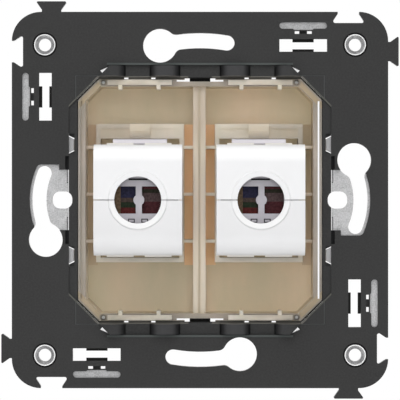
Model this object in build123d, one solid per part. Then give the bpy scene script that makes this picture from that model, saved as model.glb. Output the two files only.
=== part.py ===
from build123d import *
import math
import os

# Double data socket, rear (wall box) side towards +Y, room side towards -Y, +Z up, in millimetres.
# The origin is the middle of the plate's rear face. Sketches are drawn as seen from the rear:
# "across" runs to the viewer's right there (-X), "up" is +Z.

# Square plate: plastic cover over a steel strap
PLATE = 70.8
PLATE_CORNER = 5.5
COVER_THICK = 1.0
STEEL_THICK = 1.0
FIT_GAP = 0.05
LOOSE_GAP = 0.15

# How far joined shapes overlap, how far cutters run past, how near a corner is to be picked
LAP = 0.01
CLEAR = 1.0
MATCH = 0.02

# Dovetails that join neighbouring plates at 71 mm pitch
TAB_OFFSET = 27.95
TAB_NECK = 3.6
TAB_TOP = 5.84
TAB_HEIGHT = 1.98
TAB_NECK_HEIGHT = 0.4
TAB_ROUND = 0.2
GANG_PLAY = 0.24
NOTCH_ROUND = 0.35

# Keyholes for box screws at 60 mm spacing
BOX_SCREW_RADIUS = 30.0
KEYHOLE_HEAD_R = 3.2
KEYHOLE_SLOT = 2.9
KEYHOLE_HEAD_ANGLE = 14.5
KEYHOLE_END_ANGLE = 9.7
KEYHOLE_NECK_ROUND = 1.4

# The keyholes in the side windows have a narrower slot that bows outwards
SIDE_KEYHOLE_SLOT = 2.7
SIDE_KEYHOLE_BEND = 13.5
SIDE_KEYHOLE_BOW = 0.28

# Corner bushes
BUSH_PITCH = 58.4
BUSH_BORE_R = 1.2
BUSH_BARREL_R = 1.7
BUSH_HEAD_R = 1.98
BUSH_RIM = 0.16
BUSH_RIM_REAR = 0.1
BUSH_SINK = 0.6
BUSH_RING_GAP = 0.17

# Slots that show the bare steel, one on each side of the plate
SIDE_SLOT_UP = 19.45
STRIP_LENGTH = 9.0
STRIP_WIDTH = 1.26
STRIP_INSET = 1.92
STRIP_BUMP = 0.22
STRIP_BUMP_LENGTH = 3.9
PEEP_INSET = 3.57
PEEP_WIDTH = 0.57
PEEP_LENGTH = 3.25
PEEP_BAR = 1.45
PEEP_BAR_LAP = 0.12
HOOK_SLOT_INSET = 5.11
HOOK_SLOT_WIDTH = 2.39
HOOK_SLOT_LENGTH = 9.0
HOOK_LENGTH = 4.0
HOOK_REACH = 0.53
HOOK_ROOT = 0.4
HOOK_THICK = 0.5

# Side windows in the cover
WINDOW_RIM = 0.45
WINDOW_TOP = 6.68
WINDOW_STEP = 0.98
WINDOW_STEP_WIDTH = 1.8
WINDOW_BOTTOM = 5.66
WINDOW_LAP = 0.13
WINDOW_ROUND = 0.9
SIDE_HOLE_OUT = 3.1
SIDE_HOLE_IN = 0.65
SIDE_HOLE_HEIGHT = 3.22
SIDE_HOLE_ROUND = 1.4
RELIEF_OUT = 0.4
RELIEF_LENGTH = 2.5
RELIEF_WIDTH = 0.14
RELIEF_DEPTH = 0.8
NICHE_WIDTH = 0.66
NICHE_LENGTH = 2.6
NICHE_DEPTH = 0.85

# Octagonal well of the cover
WELL_HALF_ACROSS = 24.7
WELL_HALF_UP = 25.4
WELL_LEG = 7.9
LEDGE_DEPTH = 0.5
LEDGE_ACROSS = 1.6
LEDGE_UP = 2.3
REBATE_DEPTH = 1.2
REBATE_PLAY_UP = 0.35
MOUTH_PLAY = 0.32
MOUTH_LEG = 3.5
RIM_WIDTH = 0.4
RIM_HEIGHT = 0.2
RIM_HALF = 17.5
STEP_LINE = 46.9
STEP_LINE_WIDTH = 0.14
STEP_LINE_DEPTH = 0.12
CORNER_PEEP_START = 0.1
CORNER_PEEP_RUN = 1.42
CORNER_PEEP_OUT = 0.55

# Half-round bosses on the top and bottom ledges, slits between them
BOSS_WIDTH = 5.8
BOSS_HEIGHT = 2.4
BOSS_LENGTH = 2.0
BOSSES = (6.6, 16.9)
SLIT_WIDTH = 0.8
SLIT_HEIGHT = 0.32
SLITS = (8.8, 13.9)

# Snap arms of the cover that click into the insert's top and bottom walls, and slots beside them
SNAP_WIDTH = 3.9
SNAP_THICK = 0.65
SNAP_ROOT = 1.0
SNAP_LENGTH = 4.0
SNAP_TOOTH = 0.3
SNAP_RAMP = 0.6
SNAP_SLOT = 0.95
SNAP_SLOT_THIN = 1.5
SNAP_SLOT_THIN_HEIGHT = 0.35

# Spring tongues of the steel plate beside the insert
TONGUE_UP = 10.45
TONGUE_LENGTH = 3.2
TONGUE_TIP_LENGTH = 2.1
TONGUE_REACH = 1.05
TONGUE_THICK = 0.5
TONGUE_DEPTH = 6.0
TONGUE_ROOM = 0.45

# Two-module insert
MODULE = 22.5
INSERT_SHIFT = -0.12
INSERT_LEG = 3.3
INSERT_WALL = 0.85
INSERT_FRONT = -12.5
FACE_THICK = 1.2
FLANGE_ACROSS = 0.67
FLANGE_UP = 0.5
FLANGE_LEG = 3.75
FLANGE_THICK = 0.8
GAP_SLOT_END = 0.4
GAP_SLOT_INSET = 0.45
GAP_SLOT_WIDTH = 0.34
GAP_GROOVE_DEPTH = 0.5
PIN_ACROSS = 18.2
PIN_INSET = 0.62
PIN_R = 0.5
PIN_CORE_R = 0.2
PIN_DEPTH = 0.6
RAIL_IN = 5.3
RAIL_OUT = 17.4
RAIL_THICK = 0.95
RAIL_HEIGHT = 0.6
PEG_WIDTH = 0.75
PEG_REACH = 0.85
PEG_DEPTH = 5.0
PEGS = (7.8, 15.0)
SPINE_WIDTH = 2.4
SPINE_REAR = -1.4
SPINE_GROOVE = 0.36
RIB_THICK = 0.6
RIB_REAR = -4.3
RIBS = (10.0, 1.1, -7.8)

# Keystone receptacles of the insert
NEST_WIDTH = 16.66
NEST_WALL = 0.88
NEST_TOP = 14.4
NEST_BOTTOM = -11.8
NEST_REAR = -4.0
KEY_HALF_UP = 8.0
KEY_HALF_ACROSS = 7.25
SHELF_UNDER = 11.62
SHELF_THICK = 1.1
SHELF_SINK = 0.12
CATCH_WIDTH = 3.85
CATCH_HEIGHT = 2.6
CATCH_SLOPE = 1.3
CATCH_PROUD = 0.5
CATCH_LOW_PROUD = 0.15

# Jack housing
HOUSING_FRONT = -12.3
HOUSING_STEP = -4.0
HOUSING_REAR = 2.8
HOUSING_HALF_ACROSS = 7.0
HOUSING_HALF_UP = 7.8
PORT_HALF = 5.85
PORT_TOP = 3.3
PORT_BOTTOM = -3.4
PORT_END = 0.4
PORT_TAB_HALF = 3.1
PORT_TAB_DROP = 1.5
PORT_CLIP_HALF = 2.0
PORT_CLIP_DROP = 1.0
PORT_TAB_DEPTH = 7.5
HOOK_KEY_DROP = 1.4
HOOK_KEY_THICK = 1.3
HOOK_KEY_HALF = 5.0
ARM_WIDTH = 10.2
ARM_THICK = 0.8
ARM_BEND = 0.7
ARM_ROOT = 0.6
ARM_ROOT_HEIGHT = 0.9
ARM_SLANT = 2.4
ARM_SLANT_HEIGHT = 2.3
ARM_LEVEL = 4.6
ARM_TOOTH = 0.75
ARM_TOOTH_RAMP = 2.2
ARM_PROUD = 0.9

# Contacts and circuit board
CONTACTS = 8
CONTACT_PITCH = 1.02
WIRE = 0.3
GROOVE_GAP = 0.1
WIRE_BEND = 0.5
HAIRPIN = 1.3
HAIRPIN_ROOM = 0.8
JOG = 0.6
JOG_ROOM = 1.2
BOARD_THICK = 1.2
BOARD_HALF_ACROSS = 6.45
BOARD_HALF_UP = 7.3
TAIL_UP = 4.9
TAIL_STAGGER = 1.3
TAIL_INSET = 0.3
SPRING_FRONT = -10.2
SPRING_TIP = -5.0
SPRING_TIP_UP = 1.15

# Wire block behind the board
BLOCK_REAR = 12.9
BLOCK_HALF_ACROSS = 6.95
BLOCK_HALF_UP = 7.8
BLOCK_BEVEL = 0.8
WIRE_PLACES = (-4.6, -1.5, 1.5, 4.6)
CHANNEL_WIDTH = 1.5
CHANNEL_BOTTOM = 6.0
CHANNEL_FRONT = 5.2
FORK_WIDTH = 2.0
FORK_THICK = 0.5
FORK_FRONT = 7.0
FORK_LOW = 3.2
FORK_TOP = 7.5
FORK_SLOT = 0.35
FORK_SLOT_LOW = 5.4
FORK_MOUTH = 0.35
FORK_MOUTH_DEPTH = 0.8
FORK_LEG = 0.5
LEG_PROUD = 0.2
LEG_ROOM = 0.2
LEG_ROOM_DEPTH = 0.5
PANE_LEFT = (-4.5, -0.42)
PANE_RIGHT = (0.7, 4.3)
PANE_HALF_UP = 2.5
PANE_DEPTH = 2.4
HUB_R = 1.0
LABEL_THICK = 0.2
LABEL_HALF_ACROSS = 4.6
LABEL_HALF_UP = 2.7
EYE_WIDTH = 3.5
EYE_HEIGHT = 0.33
EYE_UP = 3.8
EYE_DEPTH = 2.2
LOW_EYE_ACROSS = 1.22
LOW_EYE_WIDTH = 1.25
LOW_EYE_HEIGHT = 0.75
LOW_EYE_GROOVE = 0.18

# Hinged cap
FLAP_HALF_ACROSS = 8.1
FLAP_HALF_UP = 10.2
FLAP_WALL = 1.1
FLAP_SIDE_WALL = 0.98
FLAP_REAR = 15.4
FLAP_FRONT = 2.9
FLAP_TOP_FRONT = 5.3
FLAP_ROUND = 3.0
FLAP_SPLIT = 0.16
CABLE_R = 4.3
COLLAR_R = 5.5
COLLAR_HEIGHT = 0.35
COLLAR_BEVEL = 0.28
PRESS_RIB = 1.1
PRESS_RIB_TIP = 7.1
PRESS_RIB_FRONT = 8.3
PRESS_RIB_REAR = 11.5
HINGE_Y = 3.4
HINGE_UP = 9.3
HINGE_BAR_R = 0.7
KNUCKLE_R = 1.35
KNUCKLE_PLACE = 3.55
KNUCKLE_WIDTH = 5.0
EAR_R = 0.95
HINGE_SIDE_GAP = 0.1
SNAP_ANGLE = 70

REAR = Plane(origin=(0, 0, 0), x_dir=(-1, 0, 0), z_dir=(0, 1, 0))
SIDE = Plane(origin=(0, 0, 0), x_dir=(0, 1, 0), z_dir=(1, 0, 0))
HALF = PLATE / 2
STEEL_REAR = -COVER_THICK
STEEL_FRONT = STEEL_REAR - STEEL_THICK
REBATE_HALF_ACROSS = WELL_HALF_ACROSS - LEDGE_ACROSS
REBATE_HALF_UP = WELL_HALF_UP - LEDGE_UP
FLANGE_HALF_ACROSS = REBATE_HALF_ACROSS - LOOSE_GAP
FLANGE_HALF_UP = REBATE_HALF_UP - REBATE_PLAY_UP
INSERT_HALF = FLANGE_HALF_ACROSS - FLANGE_ACROSS
INSERT_HALF_UP = FLANGE_HALF_UP - FLANGE_UP
MOUTH_HALF_ACROSS = INSERT_HALF + MOUTH_PLAY
MOUTH_HALF_UP = INSERT_HALF_UP + LOOSE_GAP
SNAP_UP = INSERT_HALF_UP + FIT_GAP
SNAP_TIP = STEEL_FRONT - SNAP_LENGTH
SNAP_NOSE = SNAP_TIP + SNAP_TOOTH
TONGUE_OUT = -WELL_HALF_ACROSS - LOOSE_GAP
TONGUE_TIP = TONGUE_OUT + TONGUE_REACH
SHELF_REAR = NEST_REAR - SHELF_SINK
SHELF_FRONT = SHELF_REAR - SHELF_THICK
BOW_CENTRE = BOX_SCREW_RADIUS + SIDE_KEYHOLE_BOW - SIDE_KEYHOLE_BEND
FLANGE_REAR = -REBATE_DEPTH + FLANGE_THICK
FACE_REAR = INSERT_FRONT + FACE_THICK
BOARD_FRONT = HOUSING_REAR - BOARD_THICK
JACKS = {"left": INSERT_SHIFT - MODULE / 2, "right": INSERT_SHIFT + MODULE / 2}


def area(low_across, high_across, low_up, high_up):
    """Rectangle between two corners, seen from the rear."""
    middle = Pos((low_across + high_across) / 2, (low_up + high_up) / 2)
    return middle * Rectangle(high_across - low_across, high_up - low_up)


def outline(points):
    return make_face(Polyline(*points, close=True))


def octagon(half_across, half_up, leg):
    quarter = [(half_across, half_up - leg), (half_across - leg, half_up)]
    points = quarter + [(-a, u) for a, u in reversed(quarter)]
    points += [(-a, -u) for a, u in quarter] + [(a, -u) for a, u in reversed(quarter)]
    return outline(points)


def grown(half_across, half_up, leg, by):
    """Octagon with all eight sides moved outwards."""
    return octagon(half_across + by, half_up + by, leg + by * (2 - math.sqrt(2)))


def slab(shape, front, rear):
    """Extrude a rear-view sketch from one depth to another."""
    return extrude(REAR.offset(front) * shape, amount=rear - front)


def bar(shape, middle, width):
    """Extrude a side-view sketch (depth, up) by a width centred on a place across."""
    return extrude(SIDE.offset(-middle - width / 2) * shape, amount=width)


def turns(shape, count=4):
    """The shape repeated round the middle of the plate."""
    return [Rot(0, 0, -360 / count * k) * shape for k in range(count)]


def mirrored_up(shape):
    return [shape, mirror(shape, Plane.XZ)]


def four_ways(shape):
    pair = [shape, mirror(shape, Plane.YZ)]
    return pair + [mirror(s, Plane.XZ) for s in pair]


def wedge(neck, top, height, neck_height, low):
    """Dovetail standing on the plate's edge."""
    right = [(neck / 2, low), (neck / 2, HALF + neck_height), (top / 2, HALF + height)]
    return outline(right + [(-a, u) for a, u in reversed(right)])


def corners_at(shape, height):
    return [v for v in shape.vertices() if abs(v.Y - height) < MATCH]


def dovetail_tab():
    tab = wedge(TAB_NECK, TAB_TOP, TAB_HEIGHT, TAB_NECK_HEIGHT, HALF - CLEAR)
    tab = fillet(corners_at(tab, HALF + TAB_HEIGHT), TAB_ROUND)
    return Pos(-TAB_OFFSET, 0) * tab


def dovetail_notch():
    depth = TAB_HEIGHT + GANG_PLAY / 2
    neck = TAB_NECK / 2 + GANG_PLAY
    floor = TAB_TOP / 2 + GANG_PLAY
    right = [(neck, HALF + CLEAR), (neck, HALF - TAB_NECK_HEIGHT), (floor, HALF - depth)]
    notch = outline(right + [(-a, u) for a, u in reversed(right)])
    notch = fillet(corners_at(notch, HALF - depth), NOTCH_ROUND)
    return Pos(TAB_OFFSET, 0) * notch


def polar(radius, degrees):
    """Point at an angle clockwise from straight up."""
    turn = math.radians(degrees)
    return (radius * math.sin(turn), radius * math.cos(turn))


def keyhole(slot, bend, bow):
    """Round head and curved slot at the top; the slot's bend is centred below the box screws' circle."""
    head = polar(BOX_SCREW_RADIUS, -KEYHOLE_HEAD_ANGLE)
    tip = polar(BOX_SCREW_RADIUS, KEYHOLE_END_ANGLE)
    head_turn = math.degrees(math.asin(-head[0] / bend))
    tip_turn = math.degrees(math.asin(tip[0] / bend))
    path = CenterArc((0, BOX_SCREW_RADIUS + bow - bend), bend, 90 - tip_turn, head_turn + tip_turn)
    shape = Pos(*head) * Circle(KEYHOLE_HEAD_R) + SlotArc(path, slot)
    rim = [v for v in shape.vertices() if abs(math.dist((v.X, v.Y), head) - KEYHOLE_HEAD_R) < MATCH]
    return fillet([v for v in rim if v.X > head[0]], KEYHOLE_NECK_ROUND)


def keyholes():
    upright = turns(keyhole(KEYHOLE_SLOT, BOX_SCREW_RADIUS, 0), 2)
    side = keyhole(SIDE_KEYHOLE_SLOT, SIDE_KEYHOLE_BEND, SIDE_KEYHOLE_BOW)
    return upright + turns(Rot(0, 0, 90) * side, 2)


def plate_outline():
    shape = RectangleRounded(PLATE, PLATE, PLATE_CORNER)
    for tab in turns(dovetail_tab()):
        shape += tab
    for notch in turns(dovetail_notch()):
        shape -= notch
    for hole in keyholes():
        shape -= hole
    return shape


def bush_places():
    return GridLocations(BUSH_PITCH, BUSH_PITCH, 2, 2)


def strip_slot():
    """Long slot near the plate's left edge that shows the steel."""
    out = -HALF + STRIP_INSET
    edge = out + STRIP_WIDTH
    slot = Pos(out + STRIP_WIDTH / 2, 0) * Rot(0, 0, 90) * SlotOverall(STRIP_LENGTH, STRIP_WIDTH)
    half = STRIP_BUMP_LENGTH / 2
    side = [(edge - STRIP_WIDTH / 2, half), (edge, half), (edge + STRIP_BUMP, half - STRIP_BUMP)]
    bump = outline(side + [(a, -u) for a, u in reversed(side)])
    return Pos(0, SIDE_SLOT_UP) * (slot + bump)


def peep_slot():
    out = -HALF + PEEP_INSET
    half = PEEP_LENGTH / 2
    return area(out, out + PEEP_WIDTH, SIDE_SLOT_UP - half, SIDE_SLOT_UP + half)


def peep_bar(gap):
    out = -HALF + PEEP_INSET - PEEP_BAR_LAP - gap
    half = PEEP_BAR / 2 + gap
    return area(out, out + PEEP_WIDTH + 2 * (PEEP_BAR_LAP + gap), SIDE_SLOT_UP - half, SIDE_SLOT_UP + half)


def hook_slot(grow=0.0):
    out = -HALF + HOOK_SLOT_INSET - grow
    half = HOOK_SLOT_LENGTH / 2
    return area(out, out + HOOK_SLOT_WIDTH + 2 * grow, SIDE_SLOT_UP - half, SIDE_SLOT_UP + half)


def side_window():
    arc = Pos(-BOW_CENTRE, 0) * Circle(SIDE_KEYHOLE_BEND + SIDE_KEYHOLE_SLOT / 2 + WINDOW_RIM)
    shape = arc & area(-PLATE, -WELL_HALF_ACROSS + WINDOW_LAP, -WINDOW_BOTTOM, WINDOW_TOP)
    corner = shape.vertices().sort_by(Axis.Y)[-2:].sort_by(Axis.X)[0]
    shape = fillet([corner], WINDOW_ROUND)
    step = area(-WELL_HALF_ACROSS - WINDOW_STEP_WIDTH, 0, WINDOW_TOP - WINDOW_STEP, WINDOW_TOP)
    return shape - step


def side_hole():
    out = -WELL_HALF_ACROSS - SIDE_HOLE_OUT
    inner = -WELL_HALF_ACROSS + SIDE_HOLE_IN
    hole = RectangleRounded(inner - out, SIDE_HOLE_HEIGHT, SIDE_HOLE_ROUND)
    return Pos((out + inner) / 2, 0) * hole


def niches():
    edge = -WELL_HALF_ACROSS
    upper = WINDOW_TOP - WINDOW_STEP
    high = area(edge - NICHE_WIDTH, edge, upper, upper + NICHE_LENGTH)
    return high + area(edge - NICHE_WIDTH, edge, -WINDOW_BOTTOM - NICHE_LENGTH, -WINDOW_BOTTOM)


def relief(high, low, foot):
    """L-shaped groove in the steel inside the side window, its foot at one end."""
    out = -WELL_HALF_ACROSS - RELIEF_OUT
    upright = area(out, out + RELIEF_WIDTH, low, high)
    return upright + area(out, -WELL_HALF_ACROSS, foot, foot + RELIEF_WIDTH)


def reliefs():
    upper = WINDOW_TOP - WINDOW_STEP
    low = upper - RELIEF_LENGTH
    return relief(upper, low, low) + relief(-low, -upper, -low - RELIEF_WIDTH)


def tongue(gap=0.0):
    """Tapered root of a steel spring tongue, left side."""
    half = TONGUE_LENGTH / 2 + gap
    tip_half = TONGUE_TIP_LENGTH / 2 + gap
    side = [(TONGUE_OUT - CLEAR, half), (TONGUE_OUT, half), (TONGUE_TIP + gap, tip_half)]
    return Pos(0, TONGUE_UP) * outline(side + [(a, -u) for a, u in reversed(side)])


def tongue_room():
    """Recess of the ledge over a tongue."""
    half = TONGUE_LENGTH / 2
    low, high = TONGUE_UP - half - LOOSE_GAP, TONGUE_UP + half + TONGUE_ROOM
    return area(-WELL_HALF_ACROSS, TONGUE_TIP + LOOSE_GAP, low, high)


def corner_peep():
    """Small window beside the well's chamfer that shows a bright bit of steel."""
    corner = (WELL_HALF_ACROSS - WELL_LEG, WELL_HALF_UP)
    start = (corner[0] + CORNER_PEEP_START, corner[1] - CORNER_PEEP_START)
    end = (start[0] + CORNER_PEEP_RUN, start[1] - CORNER_PEEP_RUN)
    return outline([start, end, (end[0] + CORNER_PEEP_OUT, end[1] + CORNER_PEEP_OUT)])


def snap_slots():
    """See-through slots beside a snap arm: a tall part and a thin tail, right of the middle."""
    near = SNAP_WIDTH / 2
    far = near + SNAP_SLOT
    tall = area(near, far, SNAP_UP, REBATE_HALF_UP - LOOSE_GAP)
    return tall + area(far, far + SNAP_SLOT_THIN, SNAP_UP, SNAP_UP + SNAP_SLOT_THIN_HEIGHT)


def snap_gap():
    """Room of the snap arm itself between its slots."""
    half = SNAP_WIDTH / 2
    return area(-half, half, SNAP_UP, REBATE_HALF_UP - LOOSE_GAP)


def cover_sheet():
    shape = plate_outline() - octagon(WELL_HALF_ACROSS, WELL_HALF_UP, WELL_LEG)
    shape -= bush_places() * Circle(BUSH_HEAD_R + BUSH_RING_GAP)
    for slot in turns(strip_slot() + peep_slot() + hook_slot()):
        shape -= slot
    for window in turns(side_window(), 2):
        shape -= window
    for window in four_ways(corner_peep()):
        shape -= window
    return shape


def side_holes():
    return turns(side_hole(), 2)


def slits():
    low = REBATE_HALF_UP - SLIT_HEIGHT
    return [area(place - SLIT_WIDTH / 2, place + SLIT_WIDTH / 2, low, REBATE_HALF_UP) for place in SLITS]


def well_floor():
    """Ledge round the well, and the thinner lip that the insert's flange rests on."""
    well = octagon(WELL_HALF_ACROSS, WELL_HALF_UP, WELL_LEG)
    rebate_leg = WELL_LEG - LEDGE_ACROSS - LEDGE_UP
    ledge = well - octagon(REBATE_HALF_ACROSS, REBATE_HALF_UP, rebate_leg)
    lip = well - octagon(MOUTH_HALF_ACROSS, MOUTH_HALF_UP, MOUTH_LEG)
    for cut in side_holes():
        ledge -= cut
        lip -= cut
    for room in four_ways(tongue_room()):
        ledge -= room
    for room in four_ways(tongue(LOOSE_GAP)) + mirrored_up(snap_gap()) + four_ways(snap_slots()):
        lip -= room
    for slit in slits():
        for cut in four_ways(slit):
            lip -= cut
    return slab(ledge, STEEL_FRONT, -LEDGE_DEPTH) + slab(lip, STEEL_FRONT, -REBATE_DEPTH)


def boss(place):
    """Half-round knuckle lying on the top ledge, its round in the across direction."""
    radius = (BOSS_WIDTH ** 2 / 4 + BOSS_HEIGHT ** 2) / (2 * BOSS_HEIGHT)
    middle_y = -LEDGE_DEPTH + BOSS_HEIGHT - radius
    low = REBATE_HALF_UP + LOOSE_GAP
    round_bar = Pos(-place, middle_y, low + BOSS_LENGTH / 2) * Cylinder(radius, BOSS_LENGTH)
    keep = area(place - BOSS_WIDTH / 2, place + BOSS_WIDTH / 2, low, low + BOSS_LENGTH)
    keep &= octagon(WELL_HALF_ACROSS, WELL_HALF_UP, WELL_LEG)
    return round_bar & slab(keep, -LEDGE_DEPTH, BOSS_HEIGHT)


def snap_arm():
    """Springy arm in front of the lip, its tooth steep towards the front, sloping towards the rear."""
    half = SNAP_WIDTH / 2
    root = slab(area(-half, half, SNAP_UP, REBATE_HALF_UP + SNAP_ROOT), STEEL_FRONT - SNAP_THICK, STEEL_FRONT)
    top = SNAP_UP + SNAP_THICK
    low = SNAP_UP - SNAP_TOOTH
    points = [(STEEL_FRONT, SNAP_UP), (STEEL_FRONT, top), (SNAP_TIP, top), (SNAP_TIP, low)]
    points += [(SNAP_NOSE, low), (SNAP_NOSE + SNAP_RAMP, SNAP_UP)]
    return root + bar(outline(points), 0, SNAP_WIDTH)


def snap_notch():
    """What the insert's top wall gives to the snap arm's tooth."""
    half = SNAP_WIDTH / 2 + LOOSE_GAP
    floor = SNAP_UP - SNAP_TOOTH - FIT_GAP
    shape = area(-half, half, floor, SNAP_UP)
    return slab(shape, SNAP_TIP - LOOSE_GAP, SNAP_NOSE + SNAP_RAMP + LOOSE_GAP)


def square_line():
    inner = STEP_LINE - 2 * STEP_LINE_WIDTH
    return Rectangle(STEP_LINE, STEP_LINE) - Rectangle(inner, inner)


def rear_cover():
    cover = slab(cover_sheet(), STEEL_REAR, 0) + well_floor()
    rim = area(-RIM_HALF, RIM_HALF, WELL_HALF_UP, WELL_HALF_UP + RIM_WIDTH)
    for part in mirrored_up(rim & cover_sheet()):
        cover += slab(part, -LEDGE_DEPTH, RIM_HEIGHT)
    cover -= slab(square_line(), -STEP_LINE_DEPTH, RIM_HEIGHT)
    for part in turns(niches(), 2):
        cover -= slab(part, -NICHE_DEPTH, 0)
    knuckles = [boss(side * place) for side in (-1, 1) for place in BOSSES]
    for part in knuckles + [snap_arm()]:
        cover += part
        cover += mirror(part, Plane.XY)
    for part in turns(hook_strips(0) + peep_bar(0)):
        cover += slab(part, STEEL_FRONT, STEEL_REAR + LAP)
    for part in turns(hook_strips(HOOK_REACH)):
        cover += slab(part, STEEL_FRONT, STEEL_FRONT + HOOK_THICK)
    return cover


def hook_strips(reach):
    """Strips down through the steel along both long sides of the hook slot, reaching into it."""
    out = -HALF + HOOK_SLOT_INSET
    inner = out + HOOK_SLOT_WIDTH
    low = SIDE_SLOT_UP - HOOK_LENGTH / 2
    high = SIDE_SLOT_UP + HOOK_LENGTH / 2
    return area(out - HOOK_ROOT, out + reach, low, high) + area(inner - reach, inner + HOOK_ROOT, low, high)


def steel_plate():
    sheet = plate_outline() - grown(WELL_HALF_ACROSS, WELL_HALF_UP, WELL_LEG, LOOSE_GAP)
    sheet -= bush_places() * Circle(BUSH_BARREL_R + FIT_GAP)
    for slot in turns(hook_slot(HOOK_ROOT + FIT_GAP) + peep_slot() + peep_bar(FIT_GAP)):
        sheet -= slot
    for cut in side_holes():
        sheet -= cut
    for root in four_ways(tongue()):
        sheet += root
    plate = slab(sheet, STEEL_FRONT, STEEL_REAR)
    for groove in turns(reliefs(), 2):
        plate -= slab(groove, STEEL_REAR - RELIEF_DEPTH, STEEL_REAR)
    half = TONGUE_TIP_LENGTH / 2
    leaf = area(TONGUE_TIP - TONGUE_THICK, TONGUE_TIP, TONGUE_UP - half, TONGUE_UP + half)
    for part in four_ways(leaf):
        plate += slab(part, STEEL_FRONT - TONGUE_DEPTH, STEEL_FRONT + STEEL_THICK / 2)
    return plate


def corner_bush():
    """Turned bush about its own axis: barrel through the steel, head with a bright rim and a sink."""
    rim = BUSH_HEAD_R - BUSH_RIM
    points = [(BUSH_BORE_R, STEEL_FRONT), (BUSH_BARREL_R, STEEL_FRONT), (BUSH_BARREL_R, STEEL_REAR)]
    points += [(BUSH_HEAD_R, STEEL_REAR), (BUSH_HEAD_R, BUSH_RIM_REAR), (rim, BUSH_RIM_REAR)]
    points += [(rim, 0), (BUSH_BORE_R, -BUSH_SINK)]
    return revolve(outline(points), Axis.Y)


def corner_bushes():
    half = BUSH_PITCH / 2
    return Compound([Pos(a, 0, u) * corner_bush() for a in (-half, half) for u in (-half, half)])


def nest(place):
    """Keystone receptacle of one jack, without its window in the face."""
    half = NEST_WIDTH / 2
    inner = half - NEST_WALL
    roof = NEST_TOP - NEST_WALL
    frame = area(place - half, place + half, NEST_BOTTOM, NEST_TOP)
    frame -= area(place - inner, place + inner, NEST_BOTTOM + NEST_WALL, roof)
    shelf = area(place - inner, place + inner, SHELF_UNDER, roof)
    low = NEST_TOP - CATCH_HEIGHT
    points = [(SHELF_FRONT, low), (SHELF_REAR + CATCH_LOW_PROUD, low)]
    points += [(SHELF_REAR + CATCH_PROUD, low + CATCH_SLOPE), (SHELF_REAR + CATCH_PROUD, NEST_TOP)]
    points += [(SHELF_FRONT, NEST_TOP)]
    body = slab(frame, FACE_REAR, NEST_REAR) + slab(shelf, SHELF_FRONT, SHELF_REAR)
    return body + bar(outline(points), place, CATCH_WIDTH)


def ribs(place):
    wall = INSERT_SHIFT + math.copysign(INSERT_HALF - INSERT_WALL, place)
    spine = INSERT_SHIFT + math.copysign(SPINE_WIDTH / 2, place)
    low, high = sorted((wall, spine))
    shape = Sketch()
    for up in RIBS:
        shape += area(low, high, up - RIB_THICK / 2, up + RIB_THICK / 2)
    half = NEST_WIDTH / 2
    return shape - area(place - half, place + half, NEST_BOTTOM, NEST_TOP)


def flange():
    """Rear rim of the insert, with its see-through slot on the right and the snap arms' gaps."""
    shape = octagon(FLANGE_HALF_ACROSS, FLANGE_HALF_UP, FLANGE_LEG)
    shape -= Pos(INSERT_SHIFT, 0) * tray_outline(-INSERT_WALL)
    shape -= gap_slot()
    for cut in four_ways(snap_slots()) + mirrored_up(snap_gap()):
        shape -= cut
    return slab(shape, -REBATE_DEPTH, FLANGE_REAR)


def gap_slot():
    out = FLANGE_HALF_ACROSS - GAP_SLOT_INSET
    half = FLANGE_HALF_UP - FLANGE_LEG - GAP_SLOT_END
    return area(out - GAP_SLOT_WIDTH, out, -half, half)


def tray_outline(by):
    return grown(INSERT_HALF, INSERT_HALF_UP, INSERT_LEG, by)


def rails():
    """Raised strips on the flange with pegs that stand in the tray."""
    top = FLANGE_HALF_UP - LOOSE_GAP
    low = top - RAIL_THICK
    rear = FLANGE_REAR + RAIL_HEIGHT
    parts = [slab(area(RAIL_IN, RAIL_OUT, low, top), -REBATE_DEPTH, rear)]
    half = PEG_WIDTH / 2
    for place in PEGS:
        peg = area(place - half, place + half, low - PEG_REACH, low)
        parts.append(slab(peg, rear - PEG_DEPTH, rear))
    return parts


def spine():
    """Double wall between the two modules, with a groove along its rear edge."""
    half = SPINE_WIDTH / 2
    groove = SPINE_GROOVE / 2
    length = INSERT_HALF_UP - INSERT_WALL
    wall = slab(area(-half, half, -length - LAP, length + LAP), FACE_REAR, SPINE_REAR)
    wall -= slab(area(-groove, groove, -length, length), SPINE_REAR - SPINE_GROOVE, SPINE_REAR)
    return Pos(-INSERT_SHIFT, 0, 0) * wall


def front_insert():
    outer = Pos(INSERT_SHIFT, 0) * tray_outline(0)
    wall = outer - Pos(INSERT_SHIFT, 0) * tray_outline(-INSERT_WALL)
    body = slab(outer, INSERT_FRONT, FACE_REAR) + slab(wall, FACE_REAR, FLANGE_REAR)
    body += flange() + spine()
    body -= slab(mirror(gap_slot(), Plane.YZ), FLANGE_REAR - GAP_GROOVE_DEPTH, FLANGE_REAR)
    for part in rails():
        for copy in (part, mirror(part, Plane.YZ)):
            body += copy
            body += mirror(copy, Plane.XY)
    notch = snap_notch()
    body -= notch
    body -= mirror(notch, Plane.XY)
    pin = Pos(PIN_ACROSS, FLANGE_HALF_UP - PIN_INSET) * (Circle(PIN_R) - Circle(PIN_CORE_R))
    for part in four_ways(pin):
        body -= slab(part, FLANGE_REAR - PIN_DEPTH, FLANGE_REAR)
    for place in JACKS.values():
        body += nest(place)
        body += slab(ribs(place), FACE_REAR, RIB_REAR)
        half = KEY_HALF_ACROSS + 2 * FIT_GAP
        window = area(place - half, place + half, -KEY_HALF_UP - LOOSE_GAP, KEY_HALF_UP + LOOSE_GAP)
        body -= slab(window, INSERT_FRONT, FACE_REAR)
    return body


def contact_places():
    middle = (CONTACTS - 1) / 2
    return [(i - middle) * CONTACT_PITCH for i in range(CONTACTS)]


def tail_up(index):
    return TAIL_UP + TAIL_STAGGER * (index % 2)


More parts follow.
